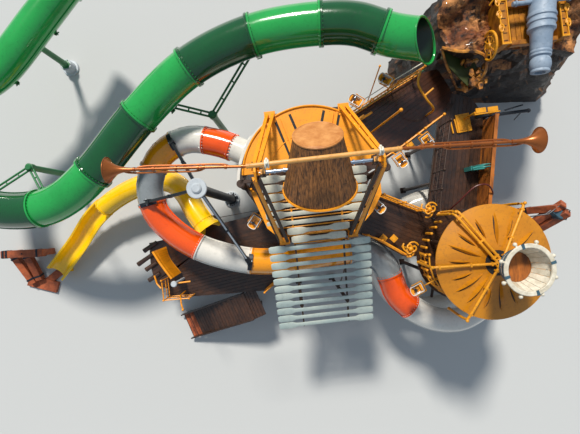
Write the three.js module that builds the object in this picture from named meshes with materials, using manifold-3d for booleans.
// A water slide tower: a hexagonal tower under a large tipping barrel, three slides, a domed
// look-out tower, the bridges between them, and the rock block that the largest slide starts from.
// Millimetres, +Z up, pool floor at z = 0. The tower's shaft and poles run along X.

import * as THREE from "three";
import { mergeVertices } from "three/addons/utils/BufferGeometryUtils.js";
import Module from "manifold-3d";

const wasm = await Module();
wasm.setup();

// Fits
const TOUCH = 0.3; // gap left where two pieces meet
const FIT_GROW = 0.4; // the same, for what is cut to a curved tube's outside
const POINT_MERGE = 0.1; // points closer than this become one
const BORE_PLAY = 1; // radial play of the barrel's shaft in its bearings
const PLAN_CENTRE = [-239, 2800.6]; // moved to the origin, so that the part stands over it

// Colours
const ORANGE = 0xe8940f;
const DARK_BROWN = 0x3a2417;
const OAR_GREY = 0xb9c4bf;
const COPPER = 0xa5572c;
const BARREL_BROWN = 0x4b3224;
const BARREL_TAN = 0xe0a262;
const STEEL = 0x9fb0c4;
const WHITE = 0xe6e2d8;
const STRIPE_ORANGE = 0xe2561b;
const AMBER = 0xf0a81c;
const STRIPE_GREY = 0x8f9496;
const DARK_METAL = 0x23272d;
const GREEN_DARK = 0x0b5a2b;
const GREEN_LIGHT = 0x2f9e4f;
const GREEN_PAINT = 0x2f7a4a;
const YELLOW = 0xf2c40f;
const ROCK_BROWN = 0x7a4a25;
const GUN_BLUE = 0x6f8197;
const TIMBER_RED = 0x6b3424;

// Bucket tower
const TOWER = new THREE.Vector3(920, 1260, 0);
const HEX_RADIUS = 2400; // to the post centres
const POST_RADIUS = 110;
const POST_SIDES = 8;
const FOOT_PLATE = 420;
const FOOT_THICK = 40;
const DECK_TOP = 4600;
const DECK_THICK = 60;
const LOWER_TOP = 2400; // the lower deck, where the yellow slide starts
const LOWER_THICK = 60;
const DECK_OVERHANG = 60;
const RING_DEPTH = 160;
const RING_WIDTH = 110;
const ROOF_UNDER = 7400;
const ROOF_THICK = 50;
const ROOF_RADIUS = 2450;
const FRONT_POST_TOP = 6470;
const RAIL_HEIGHT = 1050;
const LEG_FOOT_Y = HEX_RADIUS * Math.sin(Math.PI / 3); // from the tower's middle to the leg feet

// Slatted roof of oar shapes, which falls towards the front
const OAR_SLOPE = THREE.MathUtils.degToRad(20.5);
const OAR_PITCH = 297;
const OAR_THICK = 40;
const OAR_BLADE = [600, 250];
const OAR_SHAFT = 120;
const OAR_LENGTH = 3560;
const UPPER_LENGTHS = [3460, 3460, 3460, 3460, 3460, 2150, 1900]; // the last two lie between the legs
const OARS_UPPER = UPPER_LENGTHS.length;
const OARS_LOWER = 11;
const OAR_FIRST_Y = 990;
const OAR_RAIL = [60, 90];
const OAR_RAIL_OFFSETS = [-850, 850];

// Tipping barrel, its shaft and the A-frames that carry it
const PIVOT = new THREE.Vector3(TOWER.x, TOWER.y, 9700);
const BARREL_TIP = THREE.MathUtils.degToRad(132); // from upright to the pouring stop
const BARREL_LENGTH = 1620;
const PIVOT_TO_BASE = 920;
const MOUTH_RADIUS = 1025;
const BASE_RADIUS = 640;
const STAVE_THICK = 55;
const BASE_THICK = 50;
const BARREL_SIDES = 24;
const HOOP_WIDTH = 110;
const HOOP_THICK = 30;
const SHAFT_RADIUS = 45;
const BEARING_X = 1500;
const BEARING = [150, 260, 300];
const BRACKET_X = 1700;
const BRACKET_RADIUS = 290;
const BRACKET_THICK = 60;
const LEG_FOOT_X = 1200;
const LEG_SPREAD = 95;
const LEG_SECTION = [90, 130];
const HEADER_Z = 11200;
const HEADER_HALF = 1780;
const HEADER_RADIUS = 55;
const HANGER_X = 1310;
const HORN_TIP = { left: new THREE.Vector3(-4010, 1530, 11180), right: new THREE.Vector3(5840, 1100, 11180) };
const HORN_BELL_RADIUS = 300;
const HORN_BELL_LENGTH = 520;
const HORN_WALL = 22;
const HORN_TUBE = 38;
const HORN_SOCKET = 30; // how far a horn's line is drawn into the pole before it is cut off there

// Striped body slide: outer radius of the tube and its flanges, and the centre line
const STRIPE_TUBE = { radius: 500, wall: 45, lip: 50, lipWide: 60, sides: 12, pitch: 650 };
const STRIPE_LINE = [
  [-1300, 2600, 5000], [-2460, 3190, 4900], [-3700, 3460, 4800], [-4800, 3000, 4680],
  [-5420, 1900, 4550], [-5350, 850, 4420], [-4700, -100, 4320], [-3820, -800, 4250],
  [-2930, -1230, 4200], [-1790, -1600, 4140], [-930, -1720, 4100], [400, -1740, 4060],
  [1800, -1660, 4010], [2900, -1740, 3960], [3600, -2250, 3910], [3880, -3000, 3860],
  [4080, -3700, 3800], [4720, -4430, 3700], [5600, -4960, 3600], [6570, -5150, 3480],
];
// Where each bay starts, as a point on the line nearest to these plan positions
const STRIPE_BAYS = [
  ["stripe_orange_1", -1900, 2930, STRIPE_ORANGE],
  ["stripe_white_1", -2950, 3370, WHITE],
  ["stripe_amber_1", -4180, 3400, AMBER],
  ["stripe_grey_1", -5120, 2500, STRIPE_GREY],
  ["stripe_orange_2", -5400, 1200, STRIPE_ORANGE],
  ["stripe_white_2", -3820, -800, WHITE],
  ["stripe_amber_2", -1790, -1600, AMBER],
  ["stripe_grey_2", 2300, -1680, STRIPE_GREY],
  ["stripe_orange_3", 3820, -2830, STRIPE_ORANGE],
];
// The run-out winds down round the domed tower
const RUN_OUT = { x: 6450, y: -2550, radius: 2560, start: -72, sweep: 432, step: 24, top: 3400, foot: 640 };
const RUN_OUT_START = [4600, -4330];

// Arms that hold it: the dome post's angle, the angle round the run-out, and the height
const RUN_OUT_ARMS = [[30, 30, 2780], [150, 160, 1960], [270, 265, 1290], [330, 345, 3150]];

// Large green tube slide
const GREEN_TUBE = { radius: 685, wall: 50, lip: 65, lipWide: 70, sides: 12, pitch: 850 };
const GREEN_LINE = [
  [5050, 5330, 7200], [4030, 5600, 7180], [2900, 6130, 7110], [1760, 6330, 7000], [-570, 6330, 6720],
  [-2940, 5650, 6350], [-5040, 4250, 5950], [-7110, 2500, 5520], [-8350, 1720, 5300],
  [-9530, 1410, 5120], [-11670, 1700, 4820], [-13350, 2900, 4600], [-13700, 4900, 4400],
  [-12600, 6400, 4200], [-11180, 7350, 4080], [-9440, 9350, 3880], [-8300, 10750, 3700],
];
const GREEN_BAYS = [
  ["green_dark_1", 3700, 5760, GREEN_DARK],
  ["green_light_1", 1760, 6330, GREEN_LIGHT],
  ["green_dark_2", -570, 6330, GREEN_DARK],
  ["green_light_2", -2940, 5650, GREEN_LIGHT],
  ["green_dark_3", -5040, 4250, GREEN_DARK],
  ["green_light_3", -7110, 2500, GREEN_LIGHT],
  ["green_dark_4", -9530, 1410, GREEN_DARK],
  ["green_return", -13350, 2900, GREEN_LIGHT],
];
const MOUTH_FLARE = 940;
const MOUTH_LENGTH = 700;
const MOUTH_SET_BACK = 1350; // how far the mouth's rim leans back from bottom to top

// Yellow slide
const YELLOW_TUBE = { radius: 450, wall: 40, lip: 45, lipWide: 55, sides: 10, pitch: 600 };
const YELLOW_LINE = [
  [-3810, 180, 2950], [-4150, 760, 2850], [-4500, 1500, 2650], [-5000, 2080, 2450], [-5700, 2330, 2250],
  [-7290, 2100, 1850], [-8600, 1560, 1500], [-9500, 950, 1250], [-10530, -130, 950], [-12000, -1500, 640],
];
const YELLOW_TROUGH_START = [-8800, 1450];
const TROUGH_WALL = 50;
const TROUGH_FOOT = { at: [-11700, -1220], size: 420, high: 400 }; // the block under its end

// Mast that carries the ring of the striped slide
const MAST = new THREE.Vector3(-2870, 1250, 0);
const MAST_RADIUS = 200;
const MAST_TOP = 7600;
const MAST_FOOT = 400;
const MAST_CAP = 330;
const MAST_HOLDS = [[-4180, 3400], [-5400, 1200], [-1790, -1600]];

// Domed look-out tower
const DOME = new THREE.Vector3(6630, -2270, 0);
const DOME_POST_CIRCLE = 1330;
const DOME_POST_RADIUS = 80;
const DOME_DECK_RADIUS = 1800;
const DOME_RIM = [1950, 7000];
const DOME_RISE = 280;
const DOME_SHELL = 45;
const DOME_EDGE = 60; // the shell's edge hangs this far below its rim
const DOME_HUB = 170;
const DOME_SIDES = 20;
const SPOKE_TURNS = [123, 178, 236, 59]; // where the pipes run down over the shell, in degrees
const NEST = { foot: 8150, top: 9000, low: 420, high: 650, wall: 60 };

// Small tipping buckets: place, outward direction in degrees, what holds the fork and where
const SPILL = { length: 520, width: 340, depth: 230, wall: 25, drop: 60, pinX: 50, pin: 200, reach: 310 };
const FORK = { thick: 12, depth: 70, past: 40, stem: 50 }; // past: how far a cheek passes the pin
const SPILLS = [
  { at: [3980, 4580, 6000], turn: 143, holder: "bridge_north", anchor: [4150, 4302, 5650] },
  { at: [2830, 3950, 6000], turn: 143, holder: "bridge_north", anchor: [3077, 3778, 5650] },
  { at: [4250, 1550, 6000], turn: -60, holder: "bridge_north", anchor: [4030, 1942, 5650] },
  { at: [5280, 2150, 6000], turn: -60, holder: "bridge_north", anchor: [5070, 2518, 5650] },
  { at: [-1320, -50, 6000], turn: 231, holder: "tower_deck", anchor: [-752, 255, 5650] },
  { at: [3130, -10, 6500], turn: -50, holder: "tower_frame", anchor: [2720, 221, 6390] },
  { at: [4340, -3200, 5750], turn: 202, holder: "dome_frame", anchor: [5171, -2900, 5650] },
];

// Rock block
const ROCK_FOOT = [
  [5900, 7400], [5750, 6300], [6000, 5200], [6950, 4800], [7900, 4930], [8900, 4870], [10900, 4650],
  [13300, 4480], [14000, 4900], [13800, 6600], [11600, 7800], [8000, 7800],
];
const ROCK_CROWN = [
  [5950, 7300], [5800, 6300], [6000, 5200], [6950, 4800], [7900, 4930], [8900, 4900], [9800, 4780],
  [10500, 4560], [10900, 5200], [11200, 6700], [10400, 7700], [8000, 7700],
];
const ROCK_TOP = 6350;
const ROCK_ROOM = { snug: 1.0002, clear: 1.06, headroom: 1500 }; // cut for the bridge and its walk

const V = (x, y, z) => new THREE.Vector3(x, y, z);
const UP = V(0, 0, 1);
const polar = (centre, radius, degrees, z = 0) => {
  const a = THREE.MathUtils.degToRad(degrees);
  return V(centre.x + radius * Math.cos(a), centre.y + radius * Math.sin(a), z);
};

// A closed geometry as a solid that can be joined and cut
function solid(geometry) {
  const bare = geometry.index ? geometry.toNonIndexed() : geometry.clone();
  for (const name of Object.keys(bare.attributes)) if (name !== "position") bare.deleteAttribute(name);
  const merged = mergeVertices(bare, 1e-3);
  return new wasm.Manifold(
    new wasm.Mesh({
      numProp: 3,
      vertProperties: merged.attributes.position.array,
      triVerts: new Uint32Array(merged.index.array),
    }),
  );
}

const fuse = (pieces) => pieces.reduce((whole, piece) => whole.add(piece));
const carve = (body, cutters) => cutters.reduce((left, cutter) => left.subtract(cutter), body);

function box(centre, width, depth, height) {
  return solid(new THREE.BoxGeometry(width, depth, height).translate(centre.x, centre.y, centre.z));
}

// A frame whose Z runs from p to q and whose X is level
function frameAlong(p, q) {
  const z = q.clone().sub(p).normalize();
  const side = Math.abs(z.z) > 0.999 ? V(1, 0, 0) : UP.clone().cross(z).normalize();
  const y = z.clone().cross(side).normalize();
  return new THREE.Matrix4().makeBasis(side, y, z).setPosition(p.clone().add(q).multiplyScalar(0.5));
}

function beam(p, q, width, height) {
  return solid(new THREE.BoxGeometry(width, height, p.distanceTo(q)).applyMatrix4(frameAlong(p, q)));
}

function rod(p, q, radius, sides = 8, tip = radius) {
  const turned = new THREE.CylinderGeometry(tip, radius, p.distanceTo(q), sides).rotateX(Math.PI / 2);
  return solid(turned.applyMatrix4(frameAlong(p, q)));
}

function plate(outline, bottom, top) {
  const shape = new THREE.Shape(outline.map(([x, y]) => new THREE.Vector2(x, y)));
  const flat = new THREE.ExtrudeGeometry(shape, { depth: top - bottom, bevelEnabled: false });
  return solid(flat.translate(0, 0, bottom));
}

function ringOutline(centre, radius, count, from = 0, sweep = 360) {
  const steps = sweep === 360 ? count : count - 1;
  return Array.from({ length: count }, (_, i) => {
    const p = polar(centre, radius, from + (sweep * i) / steps);
    return [p.x, p.y];
  });
}

// A turned solid: points are (radius, height) pairs of a closed outline, or start and end on the axis
function turned(points, sides) {
  const profile = points.map(([r, z]) => new THREE.Vector2(r, z));
  const lathe = new THREE.LatheGeometry(profile, sides).rotateX(Math.PI / 2);
  const made = solid(lathe);
  return made.volume() < 0 ? solid(flip(lathe)) : made;
}

function flip(geometry) {
  const loose = geometry.index ? geometry.toNonIndexed() : geometry.clone();
  const p = loose.attributes.position;
  for (let i = 0; i < p.count; i += 3) {
    const [x, y, z] = [p.getX(i), p.getY(i), p.getZ(i)];
    p.setXYZ(i, p.getX(i + 1), p.getY(i + 1), p.getZ(i + 1));
    p.setXYZ(i + 1, x, y, z);
  }
  return loose;
}

function place(body, matrix) {
  return body.transform(matrix.elements);
}

const smooth = (points) => new THREE.CatmullRomCurve3(points.map((p) => V(...p)), false, "centripetal");

// Position along a curve, from 0 to 1, where it first passes nearest to a plan position
function nearest(curve, x, y) {
  const count = 900;
  const near = 700;
  let best = [Infinity, 0];
  for (let i = 0; i <= count; i += 1) {
    const p = curve.getPointAt(i / count);
    const away = Math.hypot(p.x - x, p.y - y);
    if (best[0] < near && away > 2 * near) break;
    if (away < best[0]) best = [away, i / count];
  }
  return best[1];
}

// Bends a geometry that runs along Z so that it follows a level-ish curve from one position on:
// its X turns to the left and its Y stays up
function bend(geometry, curve, from) {
  const length = curve.getLength();
  const p = geometry.attributes.position;
  for (let i = 0; i < p.count; i += 1) {
    const t = from + p.getZ(i) / length;
    const inside = THREE.MathUtils.clamp(t, 0, 1);
    const forward = curve.getTangentAt(inside);
    const left = UP.clone().cross(forward).normalize();
    const up = forward.clone().cross(left).normalize();
    const at = curve.getPointAt(inside).addScaledVector(forward, (t - inside) * length);
    at.addScaledVector(left, p.getX(i)).addScaledVector(up, p.getY(i));
    p.setXYZ(i, at.x, at.y, at.z);
  }
  const made = solid(geometry);
  return made.volume() < 0 ? solid(flip(geometry)) : made;
}

// A closed profile of (radius, distance) pairs, turned and bent along the curve
function bentTurning(profile, curve, from, sides) {
  const points = [...profile, profile[0]].map(([r, d]) => new THREE.Vector2(r, d));
  return bend(new THREE.LatheGeometry(points, sides).rotateX(Math.PI / 2), curve, from);
}

// Even stations between two distances, both included
function stations(from, to, pitch) {
  const count = Math.max(1, Math.round((to - from) / pitch));
  return Array.from({ length: count + 1 }, (_, i) => from + ((to - from) * i) / count);
}

// One bay of a tube slide: an open shell with a flange at each end
function tubeBay(curve, from, to, size) {
  const length = (to - from) * curve.getLength();
  const { radius, wall, lip, lipWide, sides, pitch } = size;
  const [a, b] = [TOUCH, length - TOUCH];
  const outer = stations(a + lipWide, b - lipWide, pitch).map((d) => [radius, d]);
  const inner = stations(a, b, pitch).map((d) => [radius - wall, d]).reverse();
  const flange = [[radius + lip, a], [radius + lip, a + lipWide]];
  const farFlange = [[radius + lip, b - lipWide], [radius + lip, b]];
  return bentTurning([...flange, ...outer, ...farFlange, ...inner], curve, from, sides);
}

// The space that a bay takes up, with the usual gap, to cut what carries it
function baySpace(curve, from, to, size) {
  const length = (to - from) * curve.getLength();
  const { radius, lip, lipWide, sides, pitch } = size;
  const [tube, flange, near] = [radius + FIT_GROW, radius + lip + FIT_GROW, TOUCH + lipWide];
  const body = stations(near, length - near, pitch).map((d) => [tube, d]);
  const first = [[0, 0], [flange, 0], [flange, near + FIT_GROW]];
  const last = [[flange, length - near - FIT_GROW], [flange, length], [0, length]];
  body[0][1] += FIT_GROW;
  body[body.length - 1][1] -= FIT_GROW;
  return bentTurning([...first, ...body, ...last], curve, from, sides);
}

// A block that a bay stands on at its end, shaped to the middle of the bay's wall
function endBlock(curve, from, to, size, block) {
  const length = (to - from) * curve.getLength();
  const bore = stations(TOUCH, length - TOUCH, size.pitch).map((d) => [size.radius - size.wall / 2, d]);
  const end = bore[bore.length - 1];
  return carve(block, [bentTurning([[0, bore[0][1]], ...bore, [0, end[1]]], curve, from, size.sides)]);
}

function circleShape(outer, sides) {
  return new THREE.Shape(ringOutline(V(0, 0, 0), outer, sides).map(([x, y]) => new THREE.Vector2(x, y)));
}

function sweep(shape, path, steps) {
  return solid(new THREE.ExtrudeGeometry(shape, { steps, bevelEnabled: false, extrudePath: path }));
}

const spillFrame = ({ at, turn }) =>
  new THREE.Matrix4().makeRotationZ(THREE.MathUtils.degToRad(turn)).setPosition(...at);

// The forks that a piece holds: two cheeks beside each bucket, a bar behind it and a stem
function forksOf(name) {
  const { drop, pinX, pin, reach } = SPILL;
  const { thick, depth, past, stem } = FORK;
  const cheek = pin + TOUCH + thick / 2;
  const front = pinX + past;
  return SPILLS.filter(({ holder }) => holder === name).map((spill) => {
    const frame = spillFrame(spill);
    const cheekAt = (s) => V((front - reach) / 2, s * cheek, -drop);
    const cheeks = [-1, 1].map((s) => box(cheekAt(s), reach + front, thick, depth));
    const back = box(V(-reach, 0, -drop), 30, 2 * cheek + thick, depth);
    const arm = beam(V(-reach, 0, -drop).applyMatrix4(frame), V(...spill.anchor), stem, stem);
    return fuse([place(fuse([...cheeks, back]), frame), arm]);
  });
}

const group = new THREE.Group();
group.position.set(-PLAN_CENTRE[0], -PLAN_CENTRE[1], 0);

// The surface of a body, without the hair-thin triangles that joins leave where faces nearly meet
function surfaceOf(body) {
  const mesh = body.getMesh();
  const rough = new THREE.BufferGeometry();
  rough.setAttribute("position", new THREE.BufferAttribute(mesh.vertProperties, 3));
  rough.setIndex(new THREE.BufferAttribute(mesh.triVerts, 1));
  const merged = mergeVertices(rough, POINT_MERGE);
  const corners = [...merged.index.array];
  const kept = [];
  for (let i = 0; i < corners.length; i += 3) {
    const three = corners.slice(i, i + 3);
    if (new Set(three).size === 3) kept.push(...three);
  }
  merged.setIndex(kept);
  return merged;
}

function add(name, body, color, roughness = 0.5, metalness = 0) {
  const geometry = surfaceOf(body);
  geometry.computeVertexNormals();
  const made = new THREE.Mesh(geometry, new THREE.MeshStandardMaterial({ color, roughness, metalness }));
  made.name = name;
  group.add(made);
}

function footedPost(at, top, radius = POST_RADIUS, foot = FOOT_PLATE) {
  return fuse([
    rod(V(at.x, at.y, 0), V(at.x, at.y, top), radius, POST_SIDES),
    box(V(at.x, at.y, FOOT_THICK / 2), foot, foot, FOOT_THICK),
  ]);
}

// A guard rail along a line of points: posts, a top rail and two lower rails
function guardRail(points, base, height = RAIL_HEIGHT) {
  const bars = [];
  const levels = [height, height * 0.5];
  points.forEach((p) => bars.push(beam(V(p[0], p[1], base - 20), V(p[0], p[1], base + height), 50, 50)));
  points.slice(1).forEach((q, i) => {
    const p = points[i];
    levels.forEach((h) => bars.push(beam(V(p[0], p[1], base + h), V(q[0], q[1], base + h), 44, 44)));
  });
  return fuse(bars);
}

// Bucket tower
const hexPost = (degrees) => polar(TOWER, HEX_RADIUS, degrees);
const hexDeck = plate(ringOutline(TOWER, HEX_RADIUS + DECK_OVERHANG, 6), DECK_TOP - DECK_THICK, DECK_TOP);
const postCutters = [0, 60, 120, 180, 240, 300].map((a) => {
  const p = hexPost(a);
  return rod(V(p.x, p.y, -10), V(p.x, p.y, 8000), POST_RADIUS + 0.5, POST_SIDES);
});

function towerFrame() {
  const pieces = [0, 60, 120, 180].map((a) => footedPost(hexPost(a), ROOF_UNDER - TOUCH));
  [240, 300].forEach((a) => pieces.push(footedPost(hexPost(a), FRONT_POST_TOP)));
  const ring = (from, to, top) => {
    const [p, q] = [hexPost(from), hexPost(to)];
    const z = top - RING_DEPTH / 2;
    pieces.push(beam(V(p.x, p.y, z), V(q.x, q.y, z), RING_WIDTH, RING_DEPTH));
  };
  for (let a = 0; a < 360; a += 60) ring(a, a + 60, DECK_TOP - DECK_THICK - TOUCH);
  for (let a = 0; a < 360; a += 60) ring(a, a + 60, LOWER_TOP - 60 - TOUCH);
  [0, 60, 120].forEach((a) => ring(a, a + 60, ROOF_UNDER - TOUCH));
  const z = ROOF_UNDER - TOUCH - RING_DEPTH / 2;
  const y = TOWER.y + RING_WIDTH / 2;
  pieces.push(box(V(TOWER.x, y, z), 2 * HEX_RADIUS, RING_WIDTH, RING_DEPTH));
  [180, 240, 300].forEach((a) => ring(a, a + 60, FRONT_POST_TOP));
  return fuse([...pieces, ...forksOf("tower_frame")]);
}
add("tower_frame", towerFrame(), DARK_BROWN);

function towerDeck() {
  const inset = HEX_RADIUS - 170;
  const corner = (a) => {
    const p = polar(TOWER, inset, a);
    return [p.x, p.y];
  };
  const back = [corner(62), mid(corner(62), corner(118)), corner(118)];
  const front = [corner(182), corner(240), mid(corner(240), corner(300)), corner(300)];
  const rails = [back, front].map((line) => guardRail(line, DECK_TOP));
  return fuse([carve(hexDeck, postCutters), ...rails, ...forksOf("tower_deck")]);
}
function mid(p, q) {
  return [(p[0] + q[0]) / 2, (p[1] + q[1]) / 2];
}
add("tower_deck", towerDeck(), DARK_BROWN);

function towerRoof() {
  const half = ringOutline(TOWER, ROOF_RADIUS, 19, 0, 180);
  const sheet = plate(half, ROOF_UNDER, ROOF_UNDER + ROOF_THICK);
  const lip = carve(plate(half, ROOF_UNDER, ROOF_UNDER + 110), [
    plate(ringOutline(TOWER, ROOF_RADIUS - 45, 19, -1, 182), ROOF_UNDER + 20, ROOF_UNDER + 200),
  ]);
  const feet = [-1, 1].map((side) => {
    const at = V(TOWER.x + side * LEG_FOOT_X, TOWER.y + LEG_FOOT_Y, ROOF_UNDER + ROOF_THICK + 100);
    return box(at, 380, 700, 200);
  });
  return fuse([sheet, carve(lip, feet)]);
}
add("tower_roof", towerRoof(), ORANGE);

// Slatted roof
const slopeZ = (y) => ROOF_UNDER + (y - TOWER.y) * Math.tan(OAR_SLOPE);
const onSlope = (x, y) => new THREE.Matrix4().makeRotationX(OAR_SLOPE).setPosition(x, y, slopeZ(y));

function oar(y, length) {
  const [bladeLength, bladeWidth] = OAR_BLADE;
  const half = length / 2;
  const neck = half - bladeLength;
  const quarter = [
    [half, bladeWidth * 0.42], [neck + 160, bladeWidth / 2], [neck, OAR_SHAFT / 2],
  ];
  const outline = [
    ...quarter,
    ...[...quarter].reverse().map(([x, w]) => [-x, w]),
    ...quarter.map(([x, w]) => [-x, -w]),
    ...[...quarter].reverse().map(([x, w]) => [x, -w]),
  ];
  return place(plate(outline, -OAR_THICK / 2, OAR_THICK / 2), onSlope(TOWER.x, y));
}

function oarRails(fromY, toY) {
  const [width, height] = OAR_RAIL;
  const drop = (OAR_THICK / 2 + height / 2 - 5) / Math.cos(OAR_SLOPE);
  return OAR_RAIL_OFFSETS.map((x) => {
    const p = V(TOWER.x + x, fromY, slopeZ(fromY) - drop);
    const q = V(TOWER.x + x, toY, slopeZ(toY) - drop);
    return beam(p, q, width, height);
  });
}
const oarRow = (i) => OAR_FIRST_Y - i * OAR_PITCH;
const railTop = TOWER.y - TOUCH - (OAR_RAIL[1] / 2) * Math.sin(OAR_SLOPE);

// The lower rows are full length and rest on two posts of their own
function oarRoof() {
  const upper = UPPER_LENGTHS.map((length, i) => oar(oarRow(i), length));
  const lower = Array.from({ length: OARS_LOWER }, (_, i) => oar(oarRow(OARS_UPPER + i), OAR_LENGTH));
  const last = OARS_UPPER + OARS_LOWER;
  const postY = oarRow(last - 3.5);
  const posts = OAR_RAIL_OFFSETS.map((x) =>
    footedPost(V(TOWER.x + x, postY, 0), slopeZ(postY) - 60, 70, 300),
  );
  return fuse([...upper, ...lower, ...oarRails(railTop, oarRow(last - 0.7)), ...posts]);
}
add("oar_roof", oarRoof(), OAR_GREY);

// A-frames: two double legs, a bracket plate and a bearing on each side
function aFrame(side) {
  const pieces = [];
  const head = V(TOWER.x + side * BRACKET_X, TOWER.y, PIVOT.z);
  const hexagon = new THREE.CylinderGeometry(BRACKET_RADIUS, BRACKET_RADIUS, BRACKET_THICK, 6);
  pieces.push(solid(hexagon.rotateZ(Math.PI / 2).translate(head.x, head.y, head.z)));
  const bearing = box(V(TOWER.x + side * BEARING_X, TOWER.y, PIVOT.z), ...BEARING);
  const armX = TOWER.x + (side * (BEARING_X + BRACKET_X)) / 2;
  const arm = box(V(armX, TOWER.y, PIVOT.z - 90), BRACKET_X - BEARING_X, 120, 90);
  pieces.push(bearing, arm);
  const feet = [
    [LEG_FOOT_Y, ROOF_UNDER + ROOF_THICK + TOUCH],
    [-LEG_FOOT_Y, FRONT_POST_TOP + TOUCH],
  ];
  feet.forEach(([dy, z]) => {
    const foot = V(TOWER.x + side * LEG_FOOT_X, TOWER.y + dy, z);
    pieces.push(box(V(foot.x, foot.y, z + 60), 330, 240, 120));
    [-LEG_SPREAD, LEG_SPREAD].forEach((dx) => {
      const low = V(foot.x + dx, foot.y - Math.sign(dy) * 20, z + 90);
      const high = V(head.x + dx * 0.7, head.y + Math.sign(dy) * 130, head.z - 60);
      pieces.push(beam(low, high, ...LEG_SECTION));
    });
    const tie = 0.45;
    const crossAt = V(foot.x, foot.y, z).lerp(V(head.x, head.y + Math.sign(dy) * 130, head.z), tie);
    pieces.push(box(crossAt, 260, 90, 90));
  });
  const shaftHole = rod(
    V(TOWER.x + side * (BEARING_X - 200), TOWER.y, PIVOT.z),
    V(TOWER.x + side * (BEARING_X + BEARING[0] / 2 + 12), TOWER.y, PIVOT.z),
    SHAFT_RADIUS + BORE_PLAY, 20,
  );
  return carve(fuse(pieces), [shaftHole]);
}
add("a_frame_left", aFrame(-1), ORANGE);
add("a_frame_right", aFrame(1), ORANGE);

// Header pole with a ring and an upright over each bracket
function headerPole() {
  const end = (side) => V(TOWER.x + side * HEADER_HALF, TOWER.y, HEADER_Z);
  const pieces = [rod(end(-1), end(1), HEADER_RADIUS, 12)];
  [-1, 1].forEach((side) => {
    const x = TOWER.x + side * HANGER_X;
    pieces.push(rod(V(x - 40, TOWER.y, HEADER_Z), V(x + 40, TOWER.y, HEADER_Z), HEADER_RADIUS + 45, 12));
    const low = V(TOWER.x + side * BEARING_X, TOWER.y, PIVOT.z + BEARING[2] / 2 + TOUCH);
    pieces.push(box(V(low.x, low.y, low.z + 15), 130, 130, 30));
    pieces.push(beam(V(low.x, low.y, low.z + 20), V(x, TOWER.y, HEADER_Z), 60, 60));
  });
  return fuse(pieces);
}
add("header_pole", headerPole(), ORANGE);

// Horns: a thin tube with two looped tubes under it and a flared bell
function horn(side, tip) {
  const start = V(TOWER.x + side * (HEADER_HALF - HORN_SOCKET), TOWER.y, HEADER_Z);
  const along = tip.clone().sub(start).normalize();
  const length = start.distanceTo(tip);
  const at = (s, y, z) => start.clone().addScaledVector(along, s).add(V(0, y, z));
  const bellStart = length - HORN_BELL_LENGTH;
  const pieces = [rod(at(0, 0, 0), at(bellStart + 40, 0, 0), HORN_TUBE, 8)];
  const loop = (from, to, y, z) => {
    const out = [at(from, 0, 0), at(from + 60, y * 0.6, z * 0.6), at(from + 200, y, z)];
    const back = [at(to - 200, y, z), at(to - 60, y * 0.6, z * 0.6), at(to, 0, 0)];
    const path = new THREE.CatmullRomCurve3([...out, ...back], false, "centripetal");
    pieces.push(sweep(circleShape(HORN_TUBE * 0.8, 4), path, 5));
  };
  loop(length * 0.12, length * 0.8, 70, -45);
  loop(length * 0.3, length * 0.9, -70, -45);
  pieces.push(rod(at(length * 0.3, 0, 0), at(length * 0.34, 0, 0), 62, 8));
  const flare = [0, 0.35, 0.65, 0.85, 1];
  const radii = [HORN_TUBE + 4, 62, 110, 180, HORN_BELL_RADIUS];
  const outer = flare.map((f, i) => [radii[i], f * HORN_BELL_LENGTH]);
  const inner = flare.slice(1).map((f, i) => [radii[i + 1] - HORN_WALL, f * HORN_BELL_LENGTH]).reverse();
  const bell = turned([[0, 0], ...outer, ...inner, [0, HORN_BELL_LENGTH * 0.2]], 14);
  const frame = frameAlong(at(bellStart, 0, 0), at(length, 0, 0)).setPosition(at(bellStart, 0, 0));
  pieces.push(place(bell, frame));
  const pole = box(V(TOWER.x, TOWER.y, HEADER_Z), 2 * (HEADER_HALF + TOUCH), 400, 400);
  return carve(fuse(pieces), [pole]);
}
add("horn_left", horn(-1, HORN_TIP.left), COPPER, 0.4, 0.6);
add("horn_right", horn(1, HORN_TIP.right), COPPER, 0.4, 0.6);

// Tipping barrel, made upright about its pivot and then tipped
const tipped = new THREE.Matrix4().makeRotationX(BARREL_TIP).setPosition(PIVOT);
const baseZ = -PIVOT_TO_BASE;
const mouthZ = BARREL_LENGTH - PIVOT_TO_BASE;
const barrelRadius = (z) => BASE_RADIUS + ((MOUTH_RADIUS - BASE_RADIUS) * (z - baseZ)) / BARREL_LENGTH;
const shaftAlong = (half, radius) => rod(V(-half, 0, 0), V(half, 0, 0), radius, 20);

function staves() {
  const wall = [
    [barrelRadius(baseZ), baseZ], [barrelRadius(mouthZ), mouthZ],
    [barrelRadius(mouthZ) - STAVE_THICK, mouthZ], [barrelRadius(baseZ) - STAVE_THICK, baseZ],
  ];
  return carve(turned([...wall, wall[0]], BARREL_SIDES), [shaftAlong(1400, SHAFT_RADIUS + BORE_PLAY / 2)]);
}
add("barrel_staves", place(staves(), tipped), BARREL_BROWN, 0.7);

const baseEdge = BASE_RADIUS + 8;
const baseDisc = [
  [0, baseZ - BASE_THICK], [baseEdge, baseZ - BASE_THICK], [baseEdge, baseZ - TOUCH], [0, baseZ - TOUCH],
];
add("barrel_base", place(turned(baseDisc, BARREL_SIDES), tipped), BARREL_TAN, 0.6);

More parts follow.
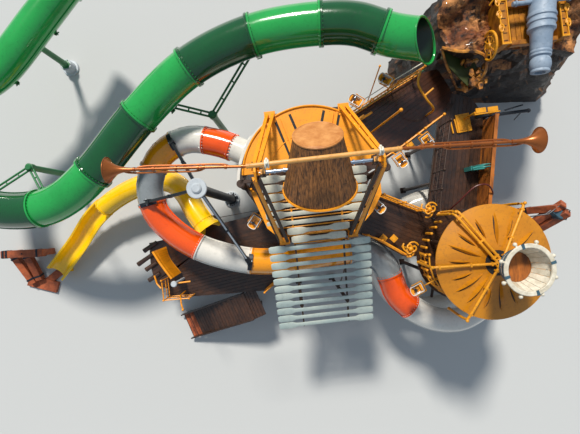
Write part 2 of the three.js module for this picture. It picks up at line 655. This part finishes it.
function rimHoop() {
  const low = mouthZ - HOOP_WIDTH;
  const high = mouthZ + 15;
  const [inLow, inHigh] = [barrelRadius(low) + 0.6, barrelRadius(high) + 0.6];
  const profile = [[inLow, low], [inLow + HOOP_THICK, low], [inHigh + HOOP_THICK, high], [inHigh, high]];
  return turned([...profile, profile[0]], BARREL_SIDES);
}
add("barrel_rim_hoop", place(rimHoop(), tipped), ORANGE);
add("barrel_shaft", place(shaftAlong(BEARING_X + BEARING[0] / 2 + 4, SHAFT_RADIUS), tipped), STEEL, 0.3, 0.9);

// Striped body slide
function runOutLine() {
  const { radius, start, sweep: turn, step, top, foot } = RUN_OUT;
  return Array.from({ length: turn / step + 1 }, (_, i) => {
    const p = polar(RUN_OUT, radius, start + i * step);
    return [p.x, p.y, THREE.MathUtils.lerp(top, foot, (i * step) / turn)];
  });
}
const stripeCurve = smooth([...STRIPE_LINE, ...runOutLine()]);
const bayStarts = STRIPE_BAYS.map(([, x, y]) => nearest(stripeCurve, x, y));
bayStarts.push(nearest(stripeCurve, ...RUN_OUT_START));
STRIPE_BAYS.forEach(([name, , , color], i) => {
  add(name, tubeBay(stripeCurve, bayStarts[i], bayStarts[i + 1], STRIPE_TUBE), color, 0.25);
});
const runOutSize = { ...STRIPE_TUBE, pitch: 900 };
const runOutFrom = bayStarts[bayStarts.length - 1];
const stripeSpaces = STRIPE_BAYS.map((_, i) =>
  baySpace(stripeCurve, bayStarts[i], bayStarts[i + 1], STRIPE_TUBE),
);
const runOutSpace = baySpace(stripeCurve, runOutFrom, 1, runOutSize);
function stripeRunOut() {
  const end = stripeCurve.getPointAt(1);
  const block = box(V(end.x, end.y - 300, 200), 640, 420, 400);
  const foot = endBlock(stripeCurve, runOutFrom, 1, runOutSize, block);
  return fuse([tubeBay(stripeCurve, runOutFrom, 1, runOutSize), foot]);
}
add("stripe_run_out", stripeRunOut(), WHITE, 0.25);

// Tub at the slide's start: a floor outside the deck's edge, a curved wall and the white collar
function startTub() {
  const [inner, outer] = [2640, 2700];
  const [low, high] = [DECK_TOP - DECK_THICK - 60, DECK_TOP + 1150];
  const arc = (r, from = 124, turn = 52) => ringOutline(TOWER, r, 9, from, turn);
  const clearOfBeams = plate(ringOutline(TOWER, HEX_RADIUS + DECK_OVERHANG + 4, 6), low - 10, high);
  const floor = carve(plate([...arc(outer, 121.5, 57), [TOWER.x, TOWER.y]], low, DECK_TOP - DECK_THICK), [
    clearOfBeams,
    ...postCutters,
  ]);
  const wall = plate([...arc(outer), ...arc(inner).reverse()], low, high);
  const { radius, wall: thick, sides } = STRIPE_TUBE;
  const collarEnd = bayStarts[0] * stripeCurve.getLength() - TOUCH;
  const boreRadius = radius - thick;
  const boreLine = [[0, 0], [boreRadius, 0], [boreRadius, collarEnd], [0, collarEnd]];
  const bore = bentTurning(boreLine, stripeCurve, 0, sides);
  const collarWall = [[radius, 20], [radius, collarEnd], [radius - thick, collarEnd], [radius - thick, 20]];
  const collar = bentTurning(collarWall, stripeCurve, 0, sides);
  const inside = plate(ringOutline(TOWER, inner, 40), low - 900, high + 900);
  return fuse([floor, carve(wall, [bore]), carve(collar, [inside])]);
}
add("slide_start_tub", startTub(), WHITE, 0.25);

// Mast and the arms that hang the ring of the slide
function slideMast() {
  const head = V(MAST.x, MAST.y, MAST_TOP - 250);
  const hold = (x, y) => {
    const p = stripeCurve.getPointAt(nearest(stripeCurve, x, y));
    return V(p.x, p.y, p.z + STRIPE_TUBE.radius + STRIPE_TUBE.lip + 30);
  };
  const pieces = [
    rod(V(MAST.x, MAST.y, 0), V(MAST.x, MAST.y, MAST_TOP), MAST_RADIUS, 14, MAST_RADIUS * 0.85),
    rod(V(MAST.x, MAST.y, 0), V(MAST.x, MAST.y, 120), MAST_FOOT, 16),
    rod(V(MAST.x, MAST.y, MAST_TOP - 40), V(MAST.x, MAST.y, MAST_TOP + 30), MAST_CAP, 16),
  ];
  MAST_HOLDS.forEach(([x, y]) => {
    const end = hold(x, y);
    pieces.push(beam(V(head.x, head.y, head.z), V(end.x, end.y, end.z + 30), 110, 130));
    pieces.push(rod(V(end.x, end.y, end.z - 80), V(end.x, end.y, end.z + 60), 90, 8));
  });
  return carve(fuse(pieces), stripeSpaces);
}
add("slide_mast", slideMast(), DARK_METAL, 0.4, 0.5);

// Green tube slide
const greenCurve = smooth(GREEN_LINE);
const greenStarts = GREEN_BAYS.map(([, x, y]) => nearest(greenCurve, x, y));
GREEN_BAYS.forEach(([name, , , color], i) => {
  add(name, tubeBay(greenCurve, greenStarts[i], greenStarts[i + 1] ?? 1, GREEN_TUBE), color, 0.2);
});
const greenSpaces = GREEN_BAYS.map((_, i) =>
  baySpace(greenCurve, greenStarts[i], greenStarts[i + 1] ?? 1, GREEN_TUBE),
);
function mouthSpace() {
  const radius = GREEN_TUBE.radius + FIT_GROW;
  const end = greenStarts[0] * greenCurve.getLength();
  const before = -MOUTH_LENGTH - 400;
  const flare = [[0, before], [MOUTH_FLARE, before], [MOUTH_FLARE + FIT_GROW, -MOUTH_LENGTH]];
  const neck = [[radius + 60, -MOUTH_LENGTH / 2], [radius, 0], [radius, end / 2]];
  const flange = [[radius + GREEN_TUBE.lip, end], [0, end]];
  return bentTurning([...flare, ...neck, ...flange], greenCurve, 0, GREEN_TUBE.sides);
}
// What is cut off the mouth, so that it opens upwards: its rim leans back from the bottom to the top
function mouthSlant() {
  const start = greenCurve.getPointAt(0);
  const forward = greenCurve.getTangentAt(0);
  const foot = start.clone().addScaledVector(forward, -MOUTH_LENGTH).setZ(start.z - MOUTH_FLARE);
  const back = MOUTH_SET_BACK - MOUTH_LENGTH;
  const head = start.clone().addScaledVector(forward, back).setZ(start.z + MOUTH_FLARE);
  const rim = head.clone().sub(foot).normalize();
  const across = UP.clone().cross(forward).normalize();
  const away = rim.clone().cross(across).normalize();
  const size = 4 * MOUTH_FLARE;
  const middle = foot.clone().lerp(head, 0.5).addScaledVector(away, size / 2);
  const frame = new THREE.Matrix4().makeBasis(across, away, across.clone().cross(away)).setPosition(middle);
  return place(box(V(0, 0, 0), size, size, size), frame);
}
function greenMouth() {
  const { radius, wall, lip, lipWide, sides } = GREEN_TUBE;
  const end = greenStarts[0] * greenCurve.getLength() - TOUCH;
  const waist = [radius + 60, -MOUTH_LENGTH / 2];
  const outer = [[MOUTH_FLARE, -MOUTH_LENGTH], waist, [radius, 0], [radius, end / 2]];
  const flange = [[radius, end - lipWide], [radius + lip, end - lipWide], [radius + lip, end]];
  const bore = radius - wall;
  const inner = [[bore, end], [bore, end / 2], [bore, 0], [waist[0] - wall, waist[1]]];
  const profile = [...outer, ...flange, ...inner, [MOUTH_FLARE - wall, -MOUTH_LENGTH]];
  return carve(bentTurning(profile, greenCurve, 0, sides), [mouthSlant()]);
}
add("green_mouth", greenMouth(), GREEN_LIGHT, 0.2);

// Columns under the green slide: a post on a round footing with an arm to each flange beside it
function greenColumn(at, top, holds) {
  const pieces = [
    rod(V(at[0], at[1], 0), V(at[0], at[1], top), 150, 12, 125),
    rod(V(at[0], at[1], 0), V(at[0], at[1], 90), 400, 16),
  ];
  holds.forEach(([x, y]) => {
    const t = nearest(greenCurve, x, y);
    const p = greenCurve.getPointAt(t);
    const seat = V(p.x, p.y, p.z - GREEN_TUBE.radius + 10);
    pieces.push(beam(V(at[0], at[1], top - 150), V(seat.x, seat.y, seat.z - 30), 100, 120));
    pieces.push(beam(V(seat.x - 250, seat.y, seat.z), V(seat.x + 250, seat.y, seat.z), 120, 160));
  });
  return carve(fuse(pieces), greenSpaces);
}
add("green_column_1", greenColumn([-2550, 4300], 5000, [[-4300, 4780], [-600, 6320]]), GREEN_PAINT);
add("green_column_2", greenColumn([-10600, 3300], 3900, [[-9530, 1410], [-12600, 2250]]), GREEN_PAINT);
add("green_column_3", greenColumn([-10350, 8900], 3000, [[-11180, 7350], [-9440, 9350]]), GREEN_PAINT);

// Yellow slide: a closed tube from the lower deck, then an open trough to the pool
const yellowCurve = smooth(YELLOW_LINE);
const troughStart = nearest(yellowCurve, ...YELLOW_TROUGH_START);
add("yellow_tube", tubeBay(yellowCurve, 0, troughStart, YELLOW_TUBE), YELLOW, 0.25);
function yellowTrough() {
  const r = YELLOW_TUBE.radius;
  const half = 7;
  const turns = Array.from({ length: half }, (_, i) => (Math.PI * i) / (half - 1));
  const arc = (radius) => turns.map((a) => [radius * Math.cos(a), -radius * Math.sin(a)]);
  const outer = [[r + 70, 60], [r + 70, 0], ...arc(r), [-r - 70, 0], [-r - 70, 60]];
  const inner = arc(r - TROUGH_WALL).reverse();
  const outline = [...outer, [-(r - TROUGH_WALL), 60], ...inner, [r - TROUGH_WALL, 60]];
  const shape = new THREE.Shape(outline.map(([x, y]) => new THREE.Vector2(x, y)));
  const run = (1 - troughStart) * yellowCurve.getLength() - TOUCH;
  const straight = new THREE.ExtrudeGeometry(shape, { depth: run, steps: 6, bevelEnabled: false });
  const channel = bend(straight.translate(0, 0, TOUCH), yellowCurve, troughStart);
  const middle = arc(r - TROUGH_WALL / 2);
  const hollow = new THREE.Shape([[r, 900], ...middle, [-r, 900]].map(([x, y]) => new THREE.Vector2(x, y)));
  const inside = new THREE.ExtrudeGeometry(hollow, { depth: run, steps: 6, bevelEnabled: false });
  const flow = bend(inside.translate(0, 0, TOUCH), yellowCurve, troughStart);
  return fuse([channel, carve(troughFoot(0), [flow])]);
}
function troughFoot(grow) {
  const { at, size, high } = TROUGH_FOOT;
  return box(V(...at, high / 2), size + 2 * grow, size + 2 * grow, high);
}
add("yellow_trough", yellowTrough(), YELLOW, 0.25);

// Stand under the yellow tube: two posts and a cross beam shaped to the tube
const yellowSpace = baySpace(yellowCurve, 0, troughStart, YELLOW_TUBE);
function yellowStand() {
  const t = nearest(yellowCurve, -6500, 2270);
  const at = yellowCurve.getPointAt(t);
  const across = UP.clone().cross(yellowCurve.getTangentAt(t)).normalize();
  const posts = [-620, 620].map((s) => at.clone().addScaledVector(across, s));
  const low = posts.map((p) => V(p.x, p.y, at.z - YELLOW_TUBE.radius - 20));
  const pieces = posts.map((p) => footedPost(p, at.z, 60, 240));
  return carve(fuse([...pieces, beam(low[0], low[1], 140, 160)]), [yellowSpace]);
}
add("yellow_stand", yellowStand(), DARK_METAL, 0.4, 0.5);

// Square timbers beside the trough's end: one log on two posts, two that lean on it, a sill, and a
// board that joins the sill to the trough's foot
const timber = (p, q, size) => beam(V(...p), V(...q), size, size);
const underGround = (x, y) => box(V(x, y, -500), 4000, 4000, 1000);
function timberLeft() {
  const log = timber([-14250, -240, 950], [-12200, -370, 950], 360);
  const posts = [[-14050, -250], [-12400, -360]].map(([x, y]) => box(V(x, y, 400), 300, 300, 800));
  const leaning = [
    timber([-13900, -330, 680], [-13300, -1850, 280], 330),
    timber([-13250, -330, 680], [-12980, -1720, 280], 330),
  ];
  const sill = beam(V(-13700, -1700, 80), V(-12250, -2250, 80), 560, 160);
  const board = beam(V(-13000, -2050, 60), V(-11750, -1240, 60), 380, 120);
  const all = fuse([log, ...posts, ...leaning, sill, board]);
  return carve(all, [underGround(-13200, -1200), troughFoot(TOUCH)]);
}
add("timber_left", timberLeft(), TIMBER_RED, 0.85);

// Timbers that lean outwards beside the domed tower: a pair strapped side by side and one against
// them, tied to a post of the tower
function timberRight() {
  const pair = [
    timber([10240, -2740, 0], [12000, -770, 3030], 310),
    timber([10500, -2960, 0], [12120, -1170, 3060], 310),
  ];
  const single = timber([10600, -1030, 0], [11750, -930, 3050], 310);
  const strap = beam(V(11640, -960, 2760), V(12000, -1370, 2760), 340, 370);
  const post = polar(DOME, DOME_POST_CIRCLE, 30);
  const tie = beam(V(post.x, post.y, 1750), V(11300, post.y, 1750), 180, 180);
  const [low, high] = [1000, 2500].map((z) => V(post.x, post.y, z));
  const postSpace = rod(low, high, DOME_POST_RADIUS + TOUCH, POST_SIDES);
  return carve(fuse([...pair, single, strap, tie]), [underGround(11200, -1800), postSpace]);
}
add("timber_right", timberRight(), TIMBER_RED, 0.85);

// Lower deck beside the tower, where the yellow slide starts
const LOWER_OUTLINE = [
  [-4150, 60], [-4020, 420], [-3450, 480], [-3200, 60], [-1900, 230], [-1060, 530], [-420, -578],
  [-350, -1000], [-450, -2500], [-1450, -3200], [-5900, -3050], [-5900, -2000], [-4500, -1340],
];
const LOWER_POSTS = [
  [-3700, -200], [-1750, -50], [-700, -2350], [-1500, -3000], [-5700, -2850], [-5700, -2150], [-3700, -2950],
];
const LOWER_RAILS = [
  [[-5800, -2100], [-5800, -2950], [-4700, -2980]],
  [[-1450, -3100], [-550, -2480]],
];
function lowerPlatform() {
  const sheet = plate(LOWER_OUTLINE, LOWER_TOP - LOWER_THICK, LOWER_TOP);
  const legs = LOWER_POSTS.map(([x, y]) => footedPost(V(x, y, 0), LOWER_TOP - 20, 70, 260));
  const rails = LOWER_RAILS.map((line) => guardRail(line, LOWER_TOP, 950));
  const saddle = box(V(-3830, 230, LOWER_TOP + 60), 420, 260, 160);
  return carve(fuse([sheet, ...legs, ...rails, saddle]), [yellowSpace, ...postCutters]);
}
add("lower_platform", lowerPlatform(), DARK_BROWN);

// Entry stair up to the lower deck: two side boards, treads and a landing on two legs
const STAIR = { foot: V(-5840, -4950, 0), head: V(-2350, -3850, LOWER_TOP), half: 640, treads: 12 };
function entryStair() {
  const { foot, head, half, treads } = STAIR;
  const along = V(head.x - foot.x, head.y - foot.y, 0).normalize();
  const across = V(-along.y, along.x, 0);
  const level = (at, long, thick) => {
    const frame = new THREE.Matrix4().makeBasis(along, across, UP).setPosition(at);
    return place(solid(new THREE.BoxGeometry(long, 2 * half, thick)), frame);
  };
  const pieces = [-1, 1].map((side) => {
    const p = foot.clone().addScaledVector(across, side * half);
    const q = head.clone().addScaledVector(across, side * half);
    return beam(V(p.x, p.y, 150), V(q.x, q.y, q.z - 130), 60, 260);
  });
  for (let i = 0; i < treads; i += 1) {
    const c = foot.clone().lerp(head, (i + 0.7) / treads);
    pieces.push(level(V(c.x, c.y, c.z - 20), 290, 40));
  }
  pieces.push(level(V(head.x + 250, head.y + 90, LOWER_TOP - 35), 700, 70));
  const legs = [[-2050, -4250], [-2300, -3450]];
  pieces.push(...legs.map(([x, y]) => footedPost(V(x, y, 0), LOWER_TOP - 30, 60, 240)));
  const deckEdge = [[-5900, -2000], [-5900, -3051], [-1450, -3201], [-450, -2501], [-450, 0]];
  const deckSpace = plate(deckEdge, LOWER_TOP - 300, LOWER_TOP + 300);
  return carve(fuse(pieces), [deckSpace, underGround(foot.x, foot.y)]);
}
add("entry_stair", entryStair(), DARK_BROWN);

// Domed look-out tower
function domeFrame() {
  const [, rim] = DOME_RIM;
  const pieces = Array.from({ length: 6 }, (_, i) => {
    const at = polar(DOME, DOME_POST_CIRCLE, 30 + 60 * i);
    return footedPost(at, rim - DOME_EDGE, DOME_POST_RADIUS, 260);
  });
  pieces.push(plate(ringOutline(DOME, DOME_DECK_RADIUS, 16), DECK_TOP - DECK_THICK, DECK_TOP));
  const round = (radius, low, high) => plate(ringOutline(DOME, radius, 12), low, high);
  const ringBeam = round(DOME_POST_CIRCLE + 90, rim - 160, rim - DOME_EDGE);
  pieces.push(carve(ringBeam, [round(DOME_POST_CIRCLE - 90, rim - 200, rim)]));
  const edge = (a) => {
    const p = polar(DOME, DOME_DECK_RADIUS - 110, a);
    return [p.x, p.y];
  };
  pieces.push(guardRail([170, 215, 260, 305, 350, 395].map(edge), DECK_TOP));
  RUN_OUT_ARMS.forEach(([post, turn, z]) => {
    const p = polar(DOME, DOME_POST_CIRCLE, post, z);
    const out = polar(RUN_OUT, RUN_OUT.radius, turn, z);
    pieces.push(beam(p, p.clone().lerp(out, 0.75), 90, 140));
  });
  return carve(fuse([...pieces, ...forksOf("dome_frame")]), [runOutSpace]);
}
add("dome_frame", domeFrame(), ORANGE);

function domeRoof() {
  const [radius, rim] = DOME_RIM;
  const under = rim - DOME_EDGE + TOUCH;
  const skin = (r) => rim + DOME_RISE * (1 - (r / radius) ** 2);
  const radii = [radius, radius * 0.75, radius * 0.45, DOME_HUB];
  const outer = radii.map((r) => [r, skin(r)]);
  const inner = radii.map((r) => [r, skin(r) - DOME_SHELL]).reverse();
  inner[inner.length - 1] = [radius, rim - DOME_EDGE];
  const shell = turned([...outer, ...inner, outer[0]], DOME_SIDES);
  const [low, high] = [DOME_POST_CIRCLE - 60, DOME_POST_CIRCLE + 60];
  const seatTop = [[high, skin(high) - 20], [low, skin(low) - 20]];
  const seatLine = [[low, under], [high, under], ...seatTop, [low, under]];
  return place(fuse([shell, turned(seatLine, DOME_SIDES)]), new THREE.Matrix4().setPosition(DOME));
}
add("dome_roof", domeRoof(), ORANGE);

// Spokes over the shell, the hub and the short mast of the look-out
function lookOutMast() {
  const hubZ = DOME_RIM[1] + DOME_RISE + 180;
  const pieces = [rod(V(DOME.x, DOME.y, DOME_RIM[1] + 60), V(DOME.x, DOME.y, NEST.foot + 60), 90, 10)];
  pieces.push(rod(V(DOME.x, DOME.y, hubZ - 60), V(DOME.x, DOME.y, hubZ + 60), DOME_HUB + 20, 12));
  SPOKE_TURNS.forEach((a) => {
    const far = polar(DOME, 2150, a, DOME_RIM[1] + 230);
    pieces.push(rod(V(DOME.x, DOME.y, hubZ), far, 38, 6));
    pieces.push(rod(polar(DOME, 2110, a, DECK_TOP + RAIL_HEIGHT + 50), V(far.x, far.y, far.z + 30), 34, 6));
  });
  const crown = DOME_RIM[1] + DOME_RISE * (1 - (DOME_HUB / DOME_RIM[0]) ** 2) + TOUCH;
  pieces.push(rod(V(DOME.x, DOME.y, crown), V(DOME.x, DOME.y, crown + 50), DOME_HUB + 80, DOME_SIDES));
  return fuse(pieces);
}
add("look_out_mast", lookOutMast(), ORANGE);

function lookOutBasket() {
  const { foot, top, low, high, wall } = NEST;
  const [under, floor] = [foot + 60, foot + 121];
  const outside = [[0, under], [low + wall, under], [high + wall, top - 80], [high + 110, top]];
  const inside = [[high - 20, top], [high, top - 90], [low, floor], [0, floor]];
  const at = V(DOME.x, DOME.y, TOUCH);
  return place(turned([...outside, ...inside], 16), new THREE.Matrix4().setPosition(at));
}
add("look_out_basket", lookOutBasket(), WHITE, 0.35);

// Bridges
const hexCut = plate(ringOutline(TOWER, HEX_RADIUS + DECK_OVERHANG + 0.5, 6), 2000, 8000);
const domeCut = plate(ringOutline(DOME, DOME_DECK_RADIUS + 0.5, 16), 2000, 8000);
const NORTH = [
  [2150, 3420], [3100, 1300], [4650, 2150], [6300, 3150], [7000, 4150], [6500, 5200], [5600, 5050],
];
const EAST = [
  [5430, -550], [5890, 1410], [6301, 3149], [7001, 4149], [7700, 3900], [8200, 3050], [7500, -750],
  [6600, -1200],
];
const SOUTH = [
  [2700, 1260], [3650, 500], [5160, -300], [5900, -900], [5200, -2200], [4300, -2050], [3160, -1250],
  [1900, -600],
];
const PARAPET = { from: [8090, 2950], to: [7430, -420], high: 1000 };

function deckPlate(outline, cutters) {
  return carve(plate(outline, DECK_TOP - DECK_THICK, DECK_TOP), cutters);
}
function deckLegs(points) {
  return points.map(([x, y]) => footedPost(V(x, y, 0), DECK_TOP - 30, 75, 280));
}
const northBody = () =>
  fuse([
    deckPlate(NORTH, [hexCut, ...postCutters]),
    ...deckLegs([[3700, 3600], [5500, 4700], [5200, 2750], [6300, 4500]]),
    guardRail([[2450, 3480], [3500, 3980], [4550, 4500], [5600, 4980]], DECK_TOP),
    guardRail([[3550, 1700], [4600, 2230], [5350, 2690], [6100, 3130]], DECK_TOP),
    rod(V(3410, 2860, DECK_TOP - 30), V(3640, 2790, 8500), 35, 8),
    ...forksOf("bridge_north"),
  ]);
add("bridge_north", northBody(), DARK_BROWN);

// The space that one deck takes from the next, with the joint's gap on the side given
function deckCut(outline, x, y) {
  const cut = plate(outline, 4000, 6000);
  return [cut, place(cut, new THREE.Matrix4().makeTranslation(x, y, 0))];
}
const eastBody = () =>
  fuse([
    carve(deckPlate(EAST, [domeCut]), deckCut(NORTH, TOUCH, -TOUCH)),
    ...deckLegs([[7700, 1700], [7950, 2750], [6400, 2500], [7450, 720], [5950, 700]]),
    beam(
      V(...PARAPET.from, DECK_TOP + PARAPET.high / 2 - 20),
      V(...PARAPET.to, DECK_TOP + PARAPET.high / 2 - 20),
      60,
      PARAPET.high,
    ),
    guardRail([[5560, -400], [5700, 400], [5880, 1100], [6100, 2000], [6330, 2900]], DECK_TOP),
  ]);
add("bridge_east", eastBody(), DARK_BROWN);

const southBody = () =>
  fuse([
    carve(deckPlate(SOUTH, [domeCut, hexCut, ...postCutters]), deckCut(EAST, -0.4, -0.2)),
    ...deckLegs([[3850, -450], [3050, -900]]),
    guardRail([[3560, 440], [4300, 50], [5050, -340]], DECK_TOP),
    guardRail([[2800, -1000], [3300, -1260], [4250, -1950]], DECK_TOP),
  ]);
add("bridge_south", southBody(), DARK_BROWN);

// Where the gun barrel lies, and its carriage: a bed let into the rock, two rests and two cheeks
const CANNON = { breech: V(9150, 6700, 7250), muzzle: V(8800, 3830, 7130), bed: 5950 };
const CARRIAGE = { x: 8850, y: 5830, wide: 2250, long: 1250, top: 6700, cheek: 130, cheekTop: 7050 };
function carriageBed(grow) {
  const { x, y, wide, long, top } = CARRIAGE;
  const [low, sides] = [CANNON.bed - grow, 2 * grow];
  return box(V(x, y, (low + top) / 2), wide + sides, long + sides, top - low);
}
function carriage() {
  const { x, y, wide, long, top, cheek, cheekTop } = CARRIAGE;
  const middle = (top + cheekTop) / 2 - 10;
  const cheeks = [-1, 1].map((side) => {
    const at = V(x + (side * (wide - cheek)) / 2, y, middle);
    return box(at, cheek, long, cheekTop - top + 20);
  });
  const rests = [0.14, 0.44].map((t) => {
    const p = CANNON.breech.clone().lerp(CANNON.muzzle, t);
    const [low, high] = [top - 20, p.z - 100];
    return box(V(p.x, p.y, (low + high) / 2), 700, 180, high - low);
  });
  return fuse([carriageBed(0), ...cheeks, ...rests]);
}

// Rock block with a steep front and a flank that slopes down at the right, carved clear of the deck
// that runs into it
function rockMass() {
  const levels = [0, 1500, 3200, 4900, 6000, ROCK_TOP];
  const centre = V(8900, 6300, 0);
  const halved = (outline) =>
    outline.flatMap((p, i) => {
      const q = outline[(i + 1) % outline.length];
      return [p, [(p[0] + q[0]) / 2, (p[1] + q[1]) / 2]];
    });
  const [foot, crown] = [ROCK_FOOT, ROCK_CROWN].map(halved);
  const count = foot.length;
  const positions = [];
  const ring = levels.map((z, k) =>
    foot.map(([x, y], i) => {
      const share = z / ROCK_TOP;
      const [px, py] = [x + (crown[i][0] - x) * share, y + (crown[i][1] - y) * share];
      const crag = 1 + 0.03 * Math.sin(i * 2.3 + k * 1.7) + 0.02 * Math.sin(i * 5.1 + k * 3.1);
      return V(centre.x + (px - centre.x) * crag, centre.y + (py - centre.y) * crag, z);
    }),
  );
  const tri = (a, b, c) => [a, b, c].forEach((p) => positions.push(p.x, p.y, p.z));
  for (let k = 0; k + 1 < ring.length; k += 1) {
    for (let i = 0; i < count; i += 1) {
      const j = (i + 1) % count;
      tri(ring[k][i], ring[k][j], ring[k + 1][j]);
      tri(ring[k][i], ring[k + 1][j], ring[k + 1][i]);
    }
  }
  const last = ring[ring.length - 1];
  for (let i = 0; i < count; i += 1) {
    const j = (i + 1) % count;
    tri(V(centre.x, centre.y, 0), ring[0][j], ring[0][i]);
    tri(V(centre.x, centre.y, ROCK_TOP + 250), last[i], last[j]);
  }
  const skin = new THREE.BufferGeometry();
  skin.setAttribute("position", new THREE.BufferAttribute(new Float32Array(positions), 3));
  const first = solid(skin);
  const block = first.volume() < 0 ? solid(flip(skin)) : first;
  const ledge = plate([[5200, 5450], [5650, 5350], [6400, 5600], [6300, 6400], [5350, 6250]], 5700, 6750);
  const peak = (x, y, r, top) => rod(V(x, y, 4500), V(x + 150, y + 100, top), r, 7, r * 0.45);
  const peaks = [peak(10450, 6750, 900, 7800), peak(10550, 5600, 450, 7100), peak(7200, 6900, 700, 7300)];
  const { snug, clear, headroom } = ROCK_ROOM;
  const seat = plate(grow2d(NORTH, snug), DECK_TOP - DECK_THICK - TOUCH, DECK_TOP + headroom);
  const walk = plate(grow2d(NORTH, clear), DECK_TOP + TOUCH, DECK_TOP + headroom);
  return carve(fuse([block, ...peaks, ledge]), [seat, walk, mouthSpace(), carriageBed(TOUCH)]);
}
function grow2d(outline, factor) {
  const cx = outline.reduce((s, p) => s + p[0], 0) / outline.length;
  const cy = outline.reduce((s, p) => s + p[1], 0) / outline.length;
  return outline.map(([x, y]) => [cx + (x - cx) * factor, cy + (y - cy) * factor]);
}
add("rock_mass", rockMass(), ROCK_BROWN, 0.9);

// Turned gun barrel on its carriage
function rockCannon() {
  const profile = [
    [0, 0], [200, 0], [300, 60], [380, 160], [410, 400], [430, 980], [430, 1650], [350, 1720],
    [330, 2200], [270, 2360], [345, 2520], [340, 2720], [290, 2900], [170, 2900], [160, 2300], [0, 2300],
  ];
  const frame = frameAlong(CANNON.breech, CANNON.muzzle).setPosition(CANNON.breech);
  return fuse([place(turned(profile, 16), frame), carriage()]);
}
add("rock_cannon", rockCannon(), GUN_BLUE, 0.6);

// Small tipping buckets: a trough-shaped cup on two pins
function spillBucket({ at, turn }) {
  const { length, width, depth, wall, drop, pinX, pin } = SPILL;
  const block = (grow, top, span) => {
    const [back, front] = [-length / 2 - grow, length / 2 + grow];
    const outline = [[back, top], [front, top], [front - 90, -depth - grow], [back + 140, -depth - grow]];
    const shape = new THREE.Shape(outline.map(([a, b]) => new THREE.Vector2(a, b)));
    const sides = new THREE.ExtrudeGeometry(shape, { depth: span, bevelEnabled: false });
    return solid(sides.translate(0, 0, -span / 2).rotateX(Math.PI / 2));
  };
  const pins = [-1, 1].map((s) => rod(V(pinX, s * (width / 2 - 5), -drop), V(pinX, s * pin, -drop), 20, 8));
  const cup = carve(block(0, 0, width), [block(-wall, 20, width - 2 * wall)]);
  return place(fuse([cup, ...pins]), spillFrame({ at, turn }));
}
SPILLS.forEach((spill, i) => add(`spill_bucket_${i + 1}`, spillBucket(spill), AMBER, 0.35));

export default group;
